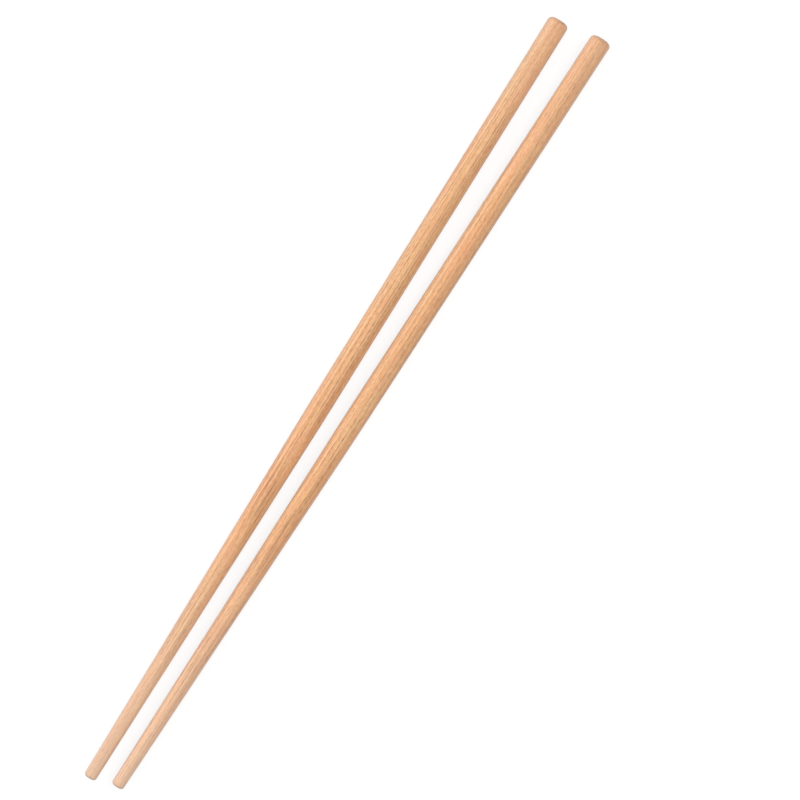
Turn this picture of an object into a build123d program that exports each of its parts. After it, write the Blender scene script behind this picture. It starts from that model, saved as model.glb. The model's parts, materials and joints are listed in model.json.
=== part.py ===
from build123d import *

import math
import os

# A pair of round bamboo chopsticks, lying side by side on a table. Sizes are in millimetres.
# X runs along the pair, with the thick ends towards +X. Z is up and the table is at Z = 0.
# The origin is on the table, under the middle of the pair.

# One stick. Both are turned to the same drawing.
LENGTH = 240.0
HANDLE_DIAMETER = 6.0
TIP_DIAMETER = 3.6
# The handle keeps its full diameter from the thick end to here, where the taper starts.
HANDLE_LENGTH = 124.0
# The belt that sands the taper leaves no corner where it starts, only this long soft curve.
TAPER_BLEND_RADIUS = 1500.0
# Both ends are sawn square and tumbled, which rounds their edges.
BUTT_EDGE_RADIUS = 1.3
TIP_EDGE_RADIUS = 0.8

# The pair as it lies. The gaps are the clear width between the two sticks at their ends.
BUTT_GAP = 6.3
TIP_GAP = 3.9
# How much further the right stick reaches towards the thick end.
STAGGER = 2.0


def stick_outline():
    """Half of a stick's lengthwise section, below its axis, from the thick end at 0 to the tip."""
    handle_radius = HANDLE_DIAMETER / 2
    tip_radius = TIP_DIAMETER / 2
    outside = FilletPolyline(
        (0, 0),
        (0, -handle_radius),
        (-HANDLE_LENGTH, -handle_radius),
        (-LENGTH, -tip_radius),
        (-LENGTH, 0),
        radius=[BUTT_EDGE_RADIUS, TAPER_BLEND_RADIUS, TIP_EDGE_RADIUS],
    )
    axis_line = Line(outside @ 1, outside @ 0)
    return make_face([outside, axis_line])


def turned_stick():
    """One stick about the X axis, with its middle at 0. The outline starts at the lowest line of the stick."""
    section = Plane.XZ * stick_outline()
    return Pos(LENGTH / 2, 0, 0) * revolve(section, Axis.X)


def lay_on_table(stick, side):
    """Lays a stick on the table beside the middle line. The side is 1 on the left, towards +Y, and -1 on the right."""
    butt_spacing = BUTT_GAP + HANDLE_DIAMETER
    tip_spacing = TIP_GAP + TIP_DIAMETER
    splay = math.degrees(math.asin((butt_spacing - tip_spacing) / LENGTH))
    middle = Pos(
        -side * STAGGER / 2,
        side * (butt_spacing + tip_spacing) / 4,
        HANDLE_DIAMETER / 2,
    )
    return middle * Rot(0, 0, side * splay / 2) * stick


def pair_of_chopsticks():
    """Each stick of the pair by its name."""
    return {
        "left_chopstick": lay_on_table(turned_stick(), 1),
        "right_chopstick": lay_on_table(turned_stick(), -1),
    }


os.makedirs("parts", exist_ok=True)
for name, solid in pair_of_chopsticks().items():
    export_step(solid, f"parts/{name}.step")
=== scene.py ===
"""A pair of round bamboo chopsticks on a white table, under soft daylight, seen from straight above.

Lengths in the classes are in millimetres, and MM turns them into the scene's metres.
"""

import json
import logging
import math
from dataclasses import dataclass
from enum import Enum
from typing import Any, NamedTuple

import bpy
import numpy as np
from mathutils import Matrix, Vector


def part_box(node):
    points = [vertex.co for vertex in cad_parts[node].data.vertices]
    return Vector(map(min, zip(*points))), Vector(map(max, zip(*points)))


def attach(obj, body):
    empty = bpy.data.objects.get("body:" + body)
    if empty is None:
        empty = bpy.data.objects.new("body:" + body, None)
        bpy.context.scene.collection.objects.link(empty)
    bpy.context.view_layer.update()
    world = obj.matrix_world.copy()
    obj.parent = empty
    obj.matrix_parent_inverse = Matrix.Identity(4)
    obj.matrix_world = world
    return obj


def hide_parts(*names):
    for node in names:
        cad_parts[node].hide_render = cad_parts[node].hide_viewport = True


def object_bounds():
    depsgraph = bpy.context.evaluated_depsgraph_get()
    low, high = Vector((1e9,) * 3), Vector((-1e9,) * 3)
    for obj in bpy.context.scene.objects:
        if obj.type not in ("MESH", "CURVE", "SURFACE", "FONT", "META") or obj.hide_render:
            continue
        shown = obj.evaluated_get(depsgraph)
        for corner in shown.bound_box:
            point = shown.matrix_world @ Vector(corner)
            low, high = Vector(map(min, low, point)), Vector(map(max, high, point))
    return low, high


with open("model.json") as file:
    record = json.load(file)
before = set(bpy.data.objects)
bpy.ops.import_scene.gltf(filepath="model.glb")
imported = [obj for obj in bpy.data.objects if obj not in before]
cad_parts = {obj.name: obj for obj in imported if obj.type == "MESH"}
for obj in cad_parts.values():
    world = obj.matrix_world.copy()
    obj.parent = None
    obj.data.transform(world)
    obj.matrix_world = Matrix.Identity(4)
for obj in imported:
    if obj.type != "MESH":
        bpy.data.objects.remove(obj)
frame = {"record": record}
cad_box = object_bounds()

MM = 0.001
BODY = "root"
WHITE = (1.0, 1.0, 1.0, 1.0)
# The socket numbers of a colour mix node, whose sockets share their names.
MIX_SHARE, MIX_FIRST, MIX_SECOND, MIX_RESULT = 0, 6, 7, 2
# Where a point lies in the strip of culm that its stick was turned from, in millimetres.
GRAIN_PLACE = "grain_place"
# 1 on a sawn end, falling to 0 over its rounded edge.
SAWN_END = "sawn_end"
# 0 along the middle, rising to 1 at the tip, and less at the butt: the wood's own paler ends, and at the
# tip also a painted highlight.
PALE_AND_HIGHLIGHT = "paler"
# 1 where the belt has laid a bundle open along the surface.
OPENED = "opened"
# The skin of a stick, unrolled flat: the map that its finish can be baked through.
SKIN_MAP = "OFBake"

log = logging.getLogger("chopsticks")


def linear(hex_colour: str) -> tuple[float, float, float, float]:
    """Turns an sRGB colour into the linear one that a shader takes.

    Args:
        hex_colour: The colour as #RRGGBB.

    Returns:
        Red, green, blue and an alpha of 1.
    """
    levels = [int(hex_colour[i : i + 2], 16) / 255 for i in (1, 3, 5)]
    red, green, blue = (v / 12.92 if v <= 0.04045 else ((v + 0.055) / 1.055) ** 2.4 for v in levels)
    return red, green, blue, 1.0


def add_node(
    tree: bpy.types.NodeTree, kind: str, inputs: dict[str | int, Any] | None = None, **settings: Any
) -> bpy.types.Node:
    """Adds a node with its settings, values and links.

    Args:
        tree: The tree that the node goes into.
        kind: The node's type.
        inputs: A value, or the output that feeds it, for each input by its name or number.
        **settings: Properties of the node itself, such as its operation.

    Returns:
        The new node.
    """
    node = tree.nodes.new(kind)
    for name, value in settings.items():
        setattr(node, name, value)
    for key, value in (inputs or {}).items():
        if isinstance(value, bpy.types.NodeSocket):
            tree.links.new(value, node.inputs[key])
        else:
            node.inputs[key].default_value = value
    return node


def counted(
    tree: bpy.types.NodeTree, place: bpy.types.NodeSocket, run: float, spacing: float
) -> bpy.types.NodeSocket:
    """Counts a place in spacings across the grain and in runs along it.

    Args:
        tree: The tree that the node goes into.
        place: The place in the culm, in millimetres, with the grain along Z.
        run: How far a mark runs along the grain.
        spacing: How far apart the marks stand across it.

    Returns:
        The output that carries the counts.
    """
    scale = (1 / spacing, 1 / spacing, 1 / run)
    return add_node(tree, "ShaderNodeVectorMath", {0: place, 1: scale}, operation="MULTIPLY").outputs[0]


class Side(Enum):
    """Which stick of the pair, as the record names it."""

    LEFT = "left"
    RIGHT = "right"


@dataclass(frozen=True)
class Streaks:
    """Noise stretched along the grain, whose levels from low to high show as a share from 0 to 1.

    It changes over its run along the grain, and over its spacing across it.
    """

    run: float
    spacing: float
    low: float
    high: float
    detail: float = 2.0

    def share(self, tree: bpy.types.NodeTree, place: bpy.types.NodeSocket) -> bpy.types.NodeSocket:
        """Adds the nodes that find how strong the streaks are at a place.

        Args:
            tree: The tree that the nodes go into.
            place: The place in the culm, in millimetres, with the grain along Z.

        Returns:
            The output that carries the share.
        """
        field = add_node(
            tree, "ShaderNodeTexNoise",
            {
                "Vector": counted(tree, place, self.run, self.spacing),
                "Scale": 1.0,
                "Detail": self.detail,
            },
        )
        return add_node(
            tree, "ShaderNodeMapRange",
            {"Value": field.outputs["Fac"], "From Min": self.low, "From Max": self.high},
        ).outputs[0]


class GrainMarks(NamedTuple):
    """What the grain shows at a point: the outputs that carry each kind of mark, from 0 to 1."""

    bundles: bpy.types.NodeSocket
    vessels: bpy.types.NodeSocket
    fibres: bpy.types.NodeSocket
    cells: bpy.types.NodeSocket
    drift: bpy.types.NodeSocket
    flush: bpy.types.NodeSocket


@dataclass(frozen=True)
class CulmGrain:
    """The grain of a bamboo culm: dark fibre bundles that run along it in pale soft tissue.

    The marks are solid, so they run as straight lines along a stick, end as dots on its sawn
    ends, and come out as long slanted dashes where the taper cuts across them.
    """

    # Bundles stand 0.45 mm apart in the wall of a culm, run its whole length and are 0.3 mm thick.
    bundle_spacing: float = 0.45
    bundle_disorder: float = 0.7
    # Where a bundle starts and is full, in spacings from its middle.
    bundle_edge: float = 0.44
    bundle_core: float = 0.12
    # The palest bundle, as a share of the darkest.
    palest_bundle: float = 0.65
    # Their colour fades in and out along them, and is full above this level of the noise.
    fading_run: float = 40.0
    fading_full: float = 0.6
    # The sander opens the vessels inside the bundles here and there, as rows of short dark dashes.
    vessels: Streaks = Streaks(run=1.5, spacing=0.36, low=0.42, high=0.62)
    # Single fibres are 0.02 mm thick. They are drawn fifteen times coarser, to show at all.
    fibres: Streaks = Streaks(run=40.0, spacing=0.3, low=0.3, high=0.7)
    # Cut cells of the soft tissue, 0.05 mm wide, give the surface a fine speckle. They are drawn
    # six times coarser, to show too.
    cells: Streaks = Streaks(run=1.0, spacing=0.3, low=0.35, high=0.7)
    # Tissue changes slowly from straw to tan, and flushes pink in smaller patches.
    drift: Streaks = Streaks(run=40.0, spacing=2.4, low=0.3, high=0.7)
    flush: Streaks = Streaks(run=7.0, spacing=0.9, low=0.4, high=0.65)

    def marks(self, tree: bpy.types.NodeTree, place: bpy.types.NodeSocket) -> GrainMarks:
        """Adds the nodes that find the marks at a place.

        Args:
            tree: A material's tree, or the tree that shapes the surface.
            place: The place in the culm, in millimetres, with the grain along Z.

        Returns:
            The outputs that carry the marks.
        """
        strands = add_node(
            tree, "ShaderNodeTexVoronoi",
            {
                "Vector": counted(tree, place, self.fading_run, self.bundle_spacing),
                "Scale": 1.0,
                "Randomness": self.bundle_disorder,
            },
            voronoi_dimensions="2D",
        )
        near = add_node(
            tree, "ShaderNodeMapRange",
            {
                "Value": strands.outputs["Distance"],
                "From Min": self.bundle_edge,
                "From Max": self.bundle_core,
            },
            interpolation_type="SMOOTHSTEP",
        )
        darkness = add_node(
            tree, "ShaderNodeMapRange",
            {"Value": strands.outputs["Color"], "To Min": self.palest_bundle, "To Max": 1.0},
        )
        fading = Streaks(
            run=self.fading_run, spacing=self.bundle_spacing, low=0.0, high=self.fading_full
        )
        faded = add_node(
            tree, "ShaderNodeMath",
            {0: darkness.outputs[0], 1: fading.share(tree, place)},
            operation="MULTIPLY",
        )
        bundles = add_node(
            tree, "ShaderNodeMath", {0: near.outputs[0], 1: faded.outputs[0]}, operation="MULTIPLY"
        ).outputs[0]
        vessels = add_node(
            tree, "ShaderNodeMath",
            {0: bundles, 1: self.vessels.share(tree, place)},
            operation="MULTIPLY",
        ).outputs[0]
        return GrainMarks(
            bundles=bundles,
            vessels=vessels,
            fibres=self.fibres.share(tree, place),
            cells=self.cells.share(tree, place),
            drift=self.drift.share(tree, place),
            flush=self.flush.share(tree, place),
        )


class Stain(NamedTuple):
    """A colour, and how much of it shows where its mark is strongest."""

    colour: str
    strength: float


@dataclass(frozen=True)
class SandedBamboo:
    """Moso bamboo, steamed, turned round, belt sanded and tumbled, without lacquer.

    Steaming gives the warm tan. Sanding leaves a soft satin, rougher where vessels are open, and
    torn fibre ends too fine to see, which catch the light as a pale bloom near the outline.
    """

    grain: CulmGrain
    straw: str = "#FFD299"
    tan: str = "#FFBF87"
    pink: Stain = Stain("#FAAC88", 0.35)
    fibre: Stain = Stain("#D28A43", 0.38)
    cell: Stain = Stain("#C68147", 0.52)
    bundle: Stain = Stain("#A8672F", 0.5)
    vessel: Stain = Stain("#7E4820", 0.7)
    opened_bundle: Stain = vessel._replace(strength=0.6)
    # Paler ends: partly the wood's own tone, and at the tip partly a painted highlight.
    pale: Stain = Stain("#FAE0CD", 0.42)
    sawn: Stain = Stain("#C39063", 0.6)
    bundle_end: Stain = vessel._replace(strength=0.75)
    roughness: float = 0.42
    vessel_roughness: float = 0.6
    ior: float = 1.5
    bloom: float = 0.5
    bloom_roughness: float = 0.55
    # Depths in millimetres. The bundles are harder than the tissue round them, and the vessels
    # are pits.
    bundle_relief: float = 0.012
    vessel_depth: float = 0.02
    fibre_relief: float = 0.005

    def material(self) -> bpy.types.Material:
        """Makes the material.

        Returns:
            A material that reads the place in the culm, the sawn ends, the paler ones and the
            opened bundles from the mesh.
        """
        made = bpy.data.materials.new("sanded_bamboo")
        made.use_nodes = True
        tree = made.node_tree
        tree.nodes.clear()
        place = add_node(tree, "ShaderNodeAttribute", attribute_name=GRAIN_PLACE)
        marks = self.grain.marks(tree, place.outputs["Vector"])
        bump = self.fine_relief(tree, marks)
        roughness = add_node(
            tree, "ShaderNodeMapRange",
            {"Value": marks.vessels, "To Min": self.roughness, "To Max": self.vessel_roughness},
        )
        shader = add_node(
            tree, "ShaderNodeBsdfPrincipled",
            {
                "Base Color": self.colour(tree, marks),
                "Roughness": roughness.outputs[0],
                "IOR": self.ior,
                "Sheen Weight": self.bloom,
                "Sheen Roughness": self.bloom_roughness,
                "Normal": bump,
            },
        )
        add_node(tree, "ShaderNodeOutputMaterial", {"Surface": shader.outputs[0]})
        return made

    def colour(self, tree: bpy.types.NodeTree, marks: GrainMarks) -> bpy.types.NodeSocket:
        """Stains the pale tissue with each kind of mark in turn.

        Args:
            tree: The material's tree.
            marks: What the grain shows.

        Returns:
            The output that carries the colour.
        """
        sawn_end, paler, opened = (
            add_node(tree, "ShaderNodeAttribute", attribute_name=name).outputs["Fac"]
            for name in (SAWN_END, PALE_AND_HIGHLIGHT, OPENED)
        )
        bundle_ends = add_node(
            tree, "ShaderNodeMath", {0: marks.bundles, 1: sawn_end}, operation="MULTIPLY"
        ).outputs[0]
        stained = add_node(
            tree, "ShaderNodeMix",
            {MIX_SHARE: marks.drift, MIX_FIRST: linear(self.straw), MIX_SECOND: linear(self.tan)},
            data_type="RGBA",
        ).outputs[MIX_RESULT]
        layers = (
            (marks.flush, self.pink),
            (marks.fibres, self.fibre),
            (marks.cells, self.cell),
            (marks.bundles, self.bundle),
            (marks.vessels, self.vessel),
            (opened, self.opened_bundle),
            # Paler ends: the wood's own tone, and at the tip also a painted highlight.
            (paler, self.pale),
            (sawn_end, self.sawn),
            (bundle_ends, self.bundle_end),
        )
        for share, stain in layers:
            shown = add_node(
                tree, "ShaderNodeMath", {0: share, 1: stain.strength}, operation="MULTIPLY"
            )
            stained = add_node(
                tree, "ShaderNodeMix",
                {
                    MIX_SHARE: shown.outputs[0],
                    MIX_FIRST: stained,
                    MIX_SECOND: linear(stain.colour),
                },
                data_type="RGBA",
            ).outputs[MIX_RESULT]
        return stained

    def fine_relief(self, tree: bpy.types.NodeTree, marks: GrainMarks) -> bpy.types.NodeSocket:
        """Raises the fibres and sinks the vessels, which are too fine for the mesh.

        Args:
            tree: The material's tree.
            marks: What the grain shows.

        Returns:
            The output that carries the bumped normal.
        """
        fibre_height = add_node(
            tree, "ShaderNodeMath", {0: marks.fibres, 1: self.fibre_relief * MM}, operation="MULTIPLY"
        )
        height = add_node(
            tree, "ShaderNodeMath",
            {0: marks.vessels, 1: -self.vessel_depth * MM, 2: fibre_height.outputs[0]},
            operation="MULTIPLY_ADD",
        )
        return add_node(
            tree, "ShaderNodeBump", {"Height": height.outputs[0], "Strength": 1.0, "Distance": 1.0}
        ).outputs[0]

    def surface_relief(self) -> bpy.types.NodeTree:
        """Makes the geometry nodes that sink the soft tissue between the bundles.

        Returns:
            A node group for a modifier. It moves points inwards only.
        """
        tree = bpy.data.node_groups.new("fibre_relief", "GeometryNodeTree")
        tree.interface.new_socket("Geometry", in_out="INPUT", socket_type="NodeSocketGeometry")
        tree.interface.new_socket("Geometry", in_out="OUTPUT", socket_type="NodeSocketGeometry")
        stick = add_node(tree, "NodeGroupInput").outputs[0]
        place = add_node(
            tree, "GeometryNodeInputNamedAttribute", {"Name": GRAIN_PLACE}, data_type="FLOAT_VECTOR"
        )
        marks = self.grain.marks(tree, place.outputs["Attribute"])
        sunk = add_node(
            tree, "ShaderNodeMapRange",
            {"Value": marks.bundles, "To Min": -self.bundle_relief * MM, "To Max": 0.0},
        )
        normal = add_node(tree, "GeometryNodeInputNormal").outputs["Normal"]
        offset = add_node(
            tree, "ShaderNodeVectorMath", {0: normal, "Scale": sunk.outputs[0]}, operation="SCALE"
        )
        moved = add_node(tree, "GeometryNodeSetPosition", {"Geometry": stick, "Offset": offset.outputs[0]})
        add_node(tree, "NodeGroupOutput", {0: moved.outputs[0]})
        return tree


@dataclass(frozen=True)
class OpenedBundle:
    """A bundle that the belt has laid open: a dark line on the surface, from one point to another.

    Both points are given by their distance from the butt end in millimetres, and by the angle
    from the top of the stick towards the window.
    """

    start: float
    start_degrees: float
    end: float
    end_degrees: float
    width: float
    # The line fades to its ends as a sine does, raised to this power.
    fading: float = 0.7

    def share(self, along: np.ndarray, angle: np.ndarray, radius: np.ndarray) -> np.ndarray:
        """How much of the line covers each point.

        Args:
            along: Distances from the butt end.
            angle: Angles round the stick, in radians from the side that faces the window.
            radius: Distances from the axis.

        Returns:
            1 in the middle of the line, falling to 0 at its edges and ends.
        """
        way = np.clip((along - self.start) / (self.end - self.start), 0, 1)
        turn = self.start_degrees + way * (self.end_degrees - self.start_degrees)
        aside = (math.pi / 2 - angle - np.radians(turn)) * radius
        return np.sin(math.pi * way) ** self.fading * np.exp(-((2 * aside / self.width) ** 2))


@dataclass
class Chopstick:
    """One stick, turned from a single strip of culm.

    The form is the drawing's: a straight handle, a taper that starts softly, and blunt rounded ends.
    What the belt and the tumbler did to this one stick is cut into that form, never added to it.
    """

    side: Side
    butt_centre: Vector
    axis: Vector
    length: float
    handle_radius: float
    tip_radius: float = 1.8
    handle_length: float = 124.0
    blend_radius: float = 1500.0
    butt_edge: float = 1.3
    tip_edge: float = 0.8
    # How many points lie round the stick, and how many rings make its body, each rounded edge and
    # each end face.
    around: int = 176
    body_rings: int = 480
    edge_rings: int = 8
    face_rings: int = 9
    # The unrolled skin is cut into this many lengths, laid side by side. Each keeps clear of its
    # neighbours by a share of its width, and all of them of the map's sides by a share of the map.
    skin_lengths: int = 4
    skin_gap: float = 0.03
    skin_border: float = 0.008
    # How this stick differs from the drawing, in millimetres. The oval and the facets shift round
    # it slowly, by a radian of their own wave over the drift's length. The facets are only on the
    # taper, and come in over the fade's length.
    out_of_round: float = 0.02
    oval_drift: float = 60.0
    facet_depth: float = 0.012
    facets: int = 9
    facet_drift: float = 50.0
    facet_fade: float = 30.0
    wave_depth: float = 0.012
    wave_length: float = 37.0
    butt_dome: float = 0.1
    tip_dome: float = 0.06
    # Which way the culm's skin faced, and how the fibres stray: a wave's run and its amount.
    roll_degrees: float = 30.0
    strays: tuple[tuple[float, float], ...] = ((260.0, 0.25), (71.0, 0.03))
    crowding: float = 0.06
    # The strip's place in the culm is drawn within this distance, so that no two sticks share
    # their grain.
    culm_reach: float = 500.0
    # Both ends are painted paler: the tip from here on, and the butt, to a lesser share, up to here. Part
    # of this is the wood's own paler tone, and at the slender tip part of it is a painted highlight.
    pale_tip_from: float = 160.0
    pale_butt_to: float = 45.0
    pale_butt_share: float = 0.3
    opened: tuple[OpenedBundle, ...] = ()
    opened_depth: float = 0.02
    seed: int = 1

    @classmethod
    def from_frame(cls, side: Side, **habits: Any) -> "Chopstick":
        """Reads a stick's place and main sizes from the frame.

        Args:
            side: Which stick.
            **habits: How this stick differs from the drawing.

        Returns:
            The stick, not built yet.
        """
        mounts = {mount["name"]: mount for mount in frame["record"]["mounts"]}
        butt_end, handle = mounts[f"{side.value}_butt_end"], mounts[f"{side.value}_handle"]
        low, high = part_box(f"{side.value}_chopstick")
        axis = Vector(butt_end["axis"]).normalized()
        # The box of a stick that lies askew is longer by what its blunt tip adds.
        askew = abs(axis.y) * cls.tip_radius * MM
        return cls(
            side=side,
            butt_centre=Vector(butt_end["pos_m"]),
            axis=axis,
            length=round((high.x - low.x - askew) / axis.x / MM, 1),
            handle_radius=handle["dims"]["r_mm"],
            **habits,
        )

    @property
    def slope(self) -> float:
        """How much radius the taper loses with each millimetre."""
        return (self.handle_radius - self.tip_radius) / (self.length - self.handle_length)

    def body_radius(self, along: np.ndarray) -> np.ndarray:
        """The drawing's radius between the rounded ends.

        Args:
            along: Distances from the butt end, in millimetres.

        Returns:
            The radius at each distance.
        """
        turn = math.atan(self.slope)
        reach = self.blend_radius * math.tan(turn / 2)
        start, end = self.handle_length - reach, self.handle_length + reach * math.cos(turn)
        into_blend = np.clip(along - start, 0, end - start)
        blend = self.handle_radius - self.blend_radius + np.sqrt(self.blend_radius**2 - into_blend**2)
        taper = self.handle_radius - self.slope * (along - self.handle_length)
        return np.where(along < end, blend, taper)

    def outline(self) -> tuple[np.ndarray, np.ndarray, np.ndarray]:
        """The rings that make the stick, from the middle of the butt end to the middle of the tip.

        Returns:
            Each ring's distance from the butt end, its radius, and its share of sawn end.
        """
        quarter = np.linspace(0, math.pi / 2, self.edge_rings, endpoint=False)
        butt_face = self.handle_radius - self.butt_edge
        turn = math.atan(self.slope)
        tip_face = self.tip_radius + self.slope * self.tip_edge - self.tip_edge / math.cos(turn)
        body_end = self.length - self.tip_edge * (1 - math.sin(turn))
        body = np.linspace(self.butt_edge, body_end, self.body_rings)
        tip_turns = np.linspace(turn, math.pi / 2, self.edge_rings + 1)[1:]
        shares = np.linspace(0, 1, self.face_rings + 1)[1:-1]

        along = np.concatenate([
            0 * shares,
            self.butt_edge * (1 - np.cos(quarter)),
            body,
            self.length - self.tip_edge * (1 - np.sin(tip_turns)),
            self.length + 0 * shares,
        ])
        radius = np.concatenate([
            butt_face * shares,
            butt_face + self.butt_edge * np.sin(quarter),
            self.body_radius(body),
            tip_face + self.tip_edge * np.cos(tip_turns),
            tip_face * shares[::-1],
        ])
        sawn = np.concatenate([
            1 + 0 * shares,
            np.cos(quarter) ** 2,
            0 * body,
            np.sin(tip_turns) ** 2,
            1 + 0 * shares,
        ])
        return along, radius, sawn

    def sanded_off(self, along: np.ndarray, radius: np.ndarray, angle: np.ndarray) -> np.ndarray:
        """How far the belt went below the drawing's radius.

        Args:
            along: Distances from the butt end.
            radius: The drawing's radius at each.
            angle: The angle round the stick.

        Returns:
            The depth, which is nowhere negative.
        """
        full_turn = 2 * math.pi
        oval_start, facet_start, wave_start = np.random.default_rng(self.seed).uniform(0, full_turn, 3)
        into_taper = np.clip((along - self.handle_length) / self.facet_fade, 0, 1)
        ovals = np.cos(2 * angle + oval_start + along / self.oval_drift)
        facets = np.cos(self.facets * angle + facet_start + along / self.facet_drift)
        waves = np.sin(full_turn * along / self.wave_length + wave_start + np.cos(angle))
        depth = self.out_of_round * (1 + ovals)
        depth = depth + self.facet_depth * into_taper * (1 + facets)
        depth = depth + self.wave_depth * (1 + waves)
        return depth / 2 * radius / self.handle_radius

    def place_in_culm(self, local: np.ndarray) -> np.ndarray:
        """Where each point lay in the wall of the culm, whose fibres stray a little from the axis.

        Args:
            local: Points along, across and above the stick's axis, in millimetres.

        Returns:
            The points along the wall, in from its skin and along the fibres.
        """
        rng = np.random.default_rng(self.seed)
        along = local[:, 0]
        strayed = local[:, 1:].copy()
        for run, amount in self.strays:
            phases = rng.uniform(0, 2 * math.pi, 2)
            strayed += amount * np.sin(2 * math.pi * along[:, None] / run + phases)
        roll = math.radians(self.roll_degrees)
        by_wall = strayed[:, 0] * math.cos(roll) + strayed[:, 1] * math.sin(roll)
        from_skin = strayed[:, 1] * math.cos(roll) - strayed[:, 0] * math.sin(roll)
        # Bundles crowd together towards the skin.
        from_skin = from_skin - self.crowding * from_skin**2
        origin = rng.uniform(-self.culm_reach, self.culm_reach, 3)
        return np.stack([by_wall, from_skin, along], axis=-1) + origin

    def surface(self, ring_along: np.ndarray, ring_radius: np.ndarray) -> tuple[np.ndarray, np.ndarray]:
        """Finds the points of the surface, ring by ring, then the middles of the butt end and the tip.

        Args:
            ring_along: Each ring's distance from the butt end.
            ring_radius: Each ring's radius.

        Returns:
            The points along, across and above the stick's axis, and each one's share of opened bundle.
        """
        angles = np.arange(self.around) * 2 * math.pi / self.around
        along, angle = np.meshgrid(ring_along, angles, indexing="ij")
        radius = np.repeat(ring_radius[:, None], self.around, axis=1)
        radius = radius - self.sanded_off(along, radius, angle)
        opened = np.zeros_like(radius)
        for line in self.opened:
            opened = np.maximum(opened, line.share(along, angle, radius))
        radius = radius - self.opened_depth * opened
        # A tumbled end is a little domed. Its rim is set back, and its middle stays.
        butt_share = np.clip(1 - along / self.butt_edge, 0, 1)
        tip_share = np.clip(1 - (self.length - along) / self.tip_edge, 0, 1)
        along = along + butt_share * self.butt_dome * (radius / self.handle_radius) ** 2
        along = along - tip_share * self.tip_dome * (radius / self.tip_radius) ** 2

        points = np.stack([-along, radius * np.cos(angle), radius * np.sin(angle)], axis=-1)
        middles = [[0, 0, 0], [-self.length, 0, 0]]
        return np.concatenate([points.reshape(-1, 3), middles]), np.concatenate([opened.ravel(), [0, 0]])

    def faces(self, rings: int) -> list[list[int]]:
        """Joins each ring to the next, and closes both ends with a fan.

        Args:
            rings: How many rings the stick has.

        Returns:
            The points of each face: the sides ring by ring, then the butt end's fan and the tip's.
        """
        ring, step = np.meshgrid(np.arange(rings - 1), np.arange(self.around), indexing="ij")
        here, beside = ring * self.around + step, ring * self.around + (step + 1) % self.around
        sides = np.stack([here, here + self.around, beside + self.around, beside], axis=-1)
        steps = np.arange(self.around)
        after = (steps + 1) % self.around
        butt_middle = np.full(self.around, rings * self.around)
        last = (rings - 1) * self.around
        butt_fan = np.stack([butt_middle, steps, after], axis=-1)
        tip_fan = np.stack([butt_middle + 1, last + after, last + steps], axis=-1)
        return sides.reshape(-1, 4).tolist() + butt_fan.tolist() + tip_fan.tolist()

    def mesh(self) -> bpy.types.Mesh:
        """Builds the stick's closed surface where the stick lies.

        Returns:
            The mesh, with what the material reads stored on its points.
        """
        ring_along, ring_radius, ring_sawn = self.outline()
        local, opened = self.surface(ring_along, ring_radius)
        up = Vector((0, 0, 1))
        to_row = np.array([self.axis, up.cross(self.axis), up])
        places = np.array(self.butt_centre) + MM * local @ to_row
        made = bpy.data.meshes.new(f"{self.side.value}_stick")
        made.from_pydata(places.tolist(), [], self.faces(len(ring_along)))
        made.shade_smooth()
        self.unroll_skin(made, ring_along, ring_radius)

        place = made.attributes.new(GRAIN_PLACE, "FLOAT_VECTOR", "POINT")
        place.data.foreach_set("vector", self.place_in_culm(local).astype(np.float32).ravel())
        # Paler towards both ends: the wood's own tone, and at the tip also a painted highlight.
        to_tip = (-local[:, 0] - self.pale_tip_from) / (self.length - self.pale_tip_from)
        to_butt = self.pale_butt_share * (1 + local[:, 0] / self.pale_butt_to)
        shares = {
            SAWN_END: np.concatenate([np.repeat(ring_sawn, self.around), [1, 1]]),
            PALE_AND_HIGHLIGHT: np.clip(np.maximum(to_tip, to_butt), 0, 1),
            OPENED: opened,
        }
        for name, share in shares.items():
            stored = made.attributes.new(name, "FLOAT", "POINT")
            stored.data.foreach_set("value", share.astype(np.float32))
        return made

    def unroll_skin(self, made: bpy.types.Mesh, ring_along: np.ndarray, ring_radius: np.ndarray) -> None:
        """Gives the surface a flat map, on which it lies unrolled and cut into lengths.

        Args:
            made: The stick's mesh: its sides ring by ring, then the fans of the butt end and the tip.
            ring_along: Each ring's distance from the butt end.
            ring_radius: Each ring's radius.
        """
        along = np.concatenate([[0], ring_along, [self.length]])
        radius = np.concatenate([[0], ring_radius, [0]])
        reached = np.concatenate([[0], np.cumsum(np.hypot(np.diff(along), np.diff(radius)))])
        piece = (reached[:-1] / reached[-1] * self.skin_lengths).astype(int)
        starts = np.array([reached[:-1][piece == i].min() for i in range(self.skin_lengths)])
        longest = (reached[1:] - starts[piece]).max()

        def spot(band: np.ndarray | int, end: int, step: np.ndarray) -> np.ndarray:
            """Finds where the corners of the faces between two rings lie on the map.

            Args:
                band: Which pair of rings the faces lie between, counted from the butt end.
                end: 0 for the corners nearer the butt, 1 for those nearer the tip.
                step: How many faces lie before the corner, round the stick.

            Returns:
                The corners' places on the map.
            """
            lengthwise = (reached[band + end] - starts[piece[band]]) / longest
            roundwise = piece[band] + self.skin_gap + (1 - 2 * self.skin_gap) * step / self.around
            across = self.skin_border + (1 - 2 * self.skin_border) * lengthwise
            return np.stack(np.broadcast_arrays(across, roundwise / self.skin_lengths), axis=-1)

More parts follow.
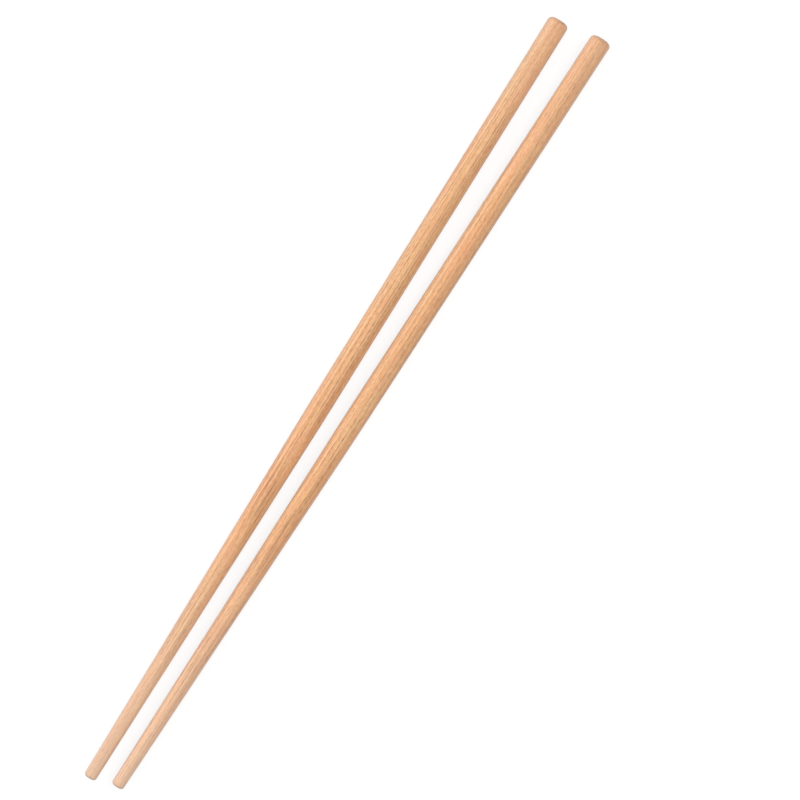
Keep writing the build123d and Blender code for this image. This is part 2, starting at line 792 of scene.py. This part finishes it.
        steps = np.arange(self.around)
        last = len(ring_along)
        band, step = np.meshgrid(np.arange(1, last), steps, indexing="ij")
        corners = (
            (spot(band, 0, step), spot(band, 1, step), spot(band, 1, step + 1), spot(band, 0, step + 1)),
            (spot(0, 0, steps + 0.5), spot(0, 1, steps), spot(0, 1, steps + 1)),
            (spot(last, 1, steps + 0.5), spot(last, 0, steps + 1), spot(last, 0, steps)),
        )
        flat = np.concatenate([np.stack(part, axis=-2).reshape(-1, 2) for part in corners])
        skin = made.uv_layers.new(name=SKIN_MAP)
        skin.uv.foreach_set("vector", flat.astype(np.float32).ravel())

    def build(self, finish: SandedBamboo) -> bpy.types.Object:
        """Builds the stick, dresses it and puts it in the place of its CAD node.

        Args:
            finish: What the stick is made of.

        Returns:
            The stick.
        """
        stick = bpy.data.objects.new(f"{self.side.value}_stick", self.mesh())
        bpy.context.scene.collection.objects.link(stick)
        stick.data.materials.append(finish.material())
        relief = stick.modifiers.new("fibre_relief", "NODES")
        relief.node_group = finish.surface_relief()
        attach(stick, BODY)
        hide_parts(f"{self.side.value}_chopstick")
        return stick


def seen_directly(tree: bpy.types.NodeTree) -> bpy.types.NodeSocket:
    """Finds the rays that show the background rather than light the object.

    Args:
        tree: A material's or the world's tree.

    Returns:
        An output that is 1 for a ray from the camera, a mirror or glass.
    """
    path = add_node(tree, "ShaderNodeLightPath")
    mirrored = add_node(
        tree, "ShaderNodeMath",
        {0: path.outputs["Is Glossy Ray"], 1: path.outputs["Is Transmission Ray"]},
        operation="MAXIMUM",
    )
    return add_node(
        tree, "ShaderNodeMath",
        {0: path.outputs["Is Camera Ray"], 1: mirrored.outputs[0]},
        operation="MAXIMUM",
    ).outputs[0]


@dataclass(frozen=True)
class WhiteCard:
    """Matt white card. It shows pure white to the camera and keeps the soft shadow on it."""

    colour: str = "#949494"
    roughness: float = 0.9
    # What the lit card lacks to pure white, and a little more.
    glow: float = 0.78

    def material(self) -> bpy.types.Material:
        """Makes the material.

        Returns:
            A matt grey that glows up to white, for the camera's and mirrored rays only.
        """
        made = bpy.data.materials.new("white_card")
        made.use_nodes = True
        tree = made.node_tree
        tree.nodes.clear()
        seen = seen_directly(tree)
        glow = add_node(tree, "ShaderNodeMath", {0: seen, 1: self.glow}, operation="MULTIPLY")
        shader = add_node(
            tree, "ShaderNodeBsdfPrincipled",
            {
                "Base Color": linear(self.colour),
                "Roughness": self.roughness,
                "Emission Color": WHITE,
                "Emission Strength": glow.outputs[0],
            },
        )
        add_node(tree, "ShaderNodeOutputMaterial", {"Surface": shader.outputs[0]})
        return made


@dataclass
class Table:
    """The white table that the sticks lie on."""

    half_width: float = 3000.0
    card: WhiteCard = WhiteCard()

    def build(self) -> bpy.types.Object:
        """Builds the table's top at the height of the object's lowest point.

        Returns:
            The table.
        """
        level = cad_box[0].z
        reach = self.half_width * MM
        signs = ((-1, -1), (1, -1), (1, 1), (-1, 1))
        top = bpy.data.meshes.new("table")
        top.from_pydata([(x * reach, y * reach, level) for x, y in signs], [], [(0, 1, 2, 3)])
        table = bpy.data.objects.new("table", top)
        bpy.context.scene.collection.objects.link(table)
        top.materials.append(self.card.material())
        return table


@dataclass
class SoftLamp:
    """A square of soft white light that faces the origin."""

    name: str
    power: float
    size: float
    place: tuple[float, float, float]

    def build(self) -> bpy.types.Object:
        """Builds the lamp.

        Returns:
            The lamp.
        """
        panel = bpy.data.lights.new(self.name, "AREA")
        panel.energy = self.power
        panel.size = self.size * MM
        lamp = bpy.data.objects.new(self.name, panel)
        lamp.location = Vector(self.place) * MM
        lamp.rotation_euler = (-lamp.location).to_track_quat("-Z", "Y").to_euler()
        bpy.context.scene.collection.objects.link(lamp)
        return lamp


@dataclass
class WhiteStudio:
    """A white room with a low window on the picture's upper left and a soft panel overhead."""

    # How strongly the room lights the sticks. The camera sees it pure white.
    room: float = 0.475
    lamps: tuple[SoftLamp, ...] = (
        SoftLamp(name="window", power=4.1, size=500.0, place=(60.0, 880.0, 360.0)),
        SoftLamp(name="overhead_panel", power=3.7, size=900.0, place=(60.0, -200.0, 930.0)),
    )

    def build(self) -> list[bpy.types.Object]:
        """Builds the room's light and the lamps.

        Returns:
            The lamps.
        """
        world = bpy.data.worlds.new("white_room")
        world.use_nodes = True
        tree = world.node_tree
        tree.nodes.clear()
        strength = add_node(
            tree, "ShaderNodeMapRange", {"Value": seen_directly(tree), "To Min": self.room, "To Max": 1.0}
        )
        light = add_node(
            tree, "ShaderNodeBackground", {"Color": WHITE, "Strength": strength.outputs[0]}
        )
        add_node(tree, "ShaderNodeOutputWorld", {"Surface": light.outputs[0]})
        bpy.context.scene.world = world
        return [lamp.build() for lamp in self.lamps]


@dataclass
class Viewpoint:
    """The camera, straight above the pair.

    It is turned so that the sticks climb to the right as steeply as in the picture.
    """

    climb_degrees: float = 57.576
    # The middle of the pair in the picture, in pixels from its top left corner.
    pair_in_picture: tuple[float, float] = (342.03, 406.08)
    picture_side_pixels: float = 800.0
    picture_side: float = 215.33
    distance: float = 1100.0
    sensor: float = 36.0

    def build(self) -> bpy.types.Object:
        """Builds the camera and makes it the scene's.

        Returns:
            The camera.
        """
        pair_height = (cad_box[0].z + cad_box[1].z) / 2
        per_pixel = self.picture_side / self.picture_side_pixels * MM
        middle = self.picture_side_pixels / 2
        to_right = (middle - self.pair_in_picture[0]) * per_pixel
        upwards = (self.pair_in_picture[1] - middle) * per_pixel
        turned = Matrix.Rotation(-math.radians(self.climb_degrees), 3, "Z")

        lens = bpy.data.cameras.new("camera")
        lens.sensor_width = self.sensor
        lens.lens = self.sensor * self.distance / self.picture_side
        camera = bpy.data.objects.new("camera", lens)
        camera.rotation_euler = turned.to_euler()
        camera.location = turned @ Vector((to_right, upwards, pair_height + self.distance * MM))
        bpy.context.scene.collection.objects.link(camera)
        bpy.context.scene.camera = camera
        return camera


def main() -> None:
    """Builds the setting and the two sticks, and reports each piece."""
    logging.basicConfig(level=logging.INFO, format="%(name)s: %(message)s")
    bpy.context.scene.view_settings.view_transform = "Standard"
    Viewpoint().build()
    WhiteStudio().build()
    Table().build()
    finish = SandedBamboo(grain=CulmGrain())
    left_lines = (
        OpenedBundle(start=139.0, start_degrees=18.0, end=156.0, end_degrees=27.0, width=0.35),
        OpenedBundle(start=145.0, start_degrees=-13.0, end=160.0, end_degrees=-8.0, width=0.4),
    )
    right_lines = (
        OpenedBundle(start=151.0, start_degrees=-2.0, end=167.0, end_degrees=-7.0, width=0.35),
        OpenedBundle(start=161.0, start_degrees=-16.0, end=176.0, end_degrees=-12.0, width=0.4),
    )
    pair = (
        Chopstick.from_frame(Side.LEFT, seed=11, butt_dome=0.06, opened=left_lines),
        Chopstick.from_frame(Side.RIGHT, seed=23, butt_dome=0.3, opened=right_lines),
    )
    for chopstick in pair:
        piece = chopstick.build(finish)
        log.info(
            "%s: %.1f mm long, %d faces", piece.name, chopstick.length, len(piece.data.polygons)
        )


if __name__ == "__main__":
    main()
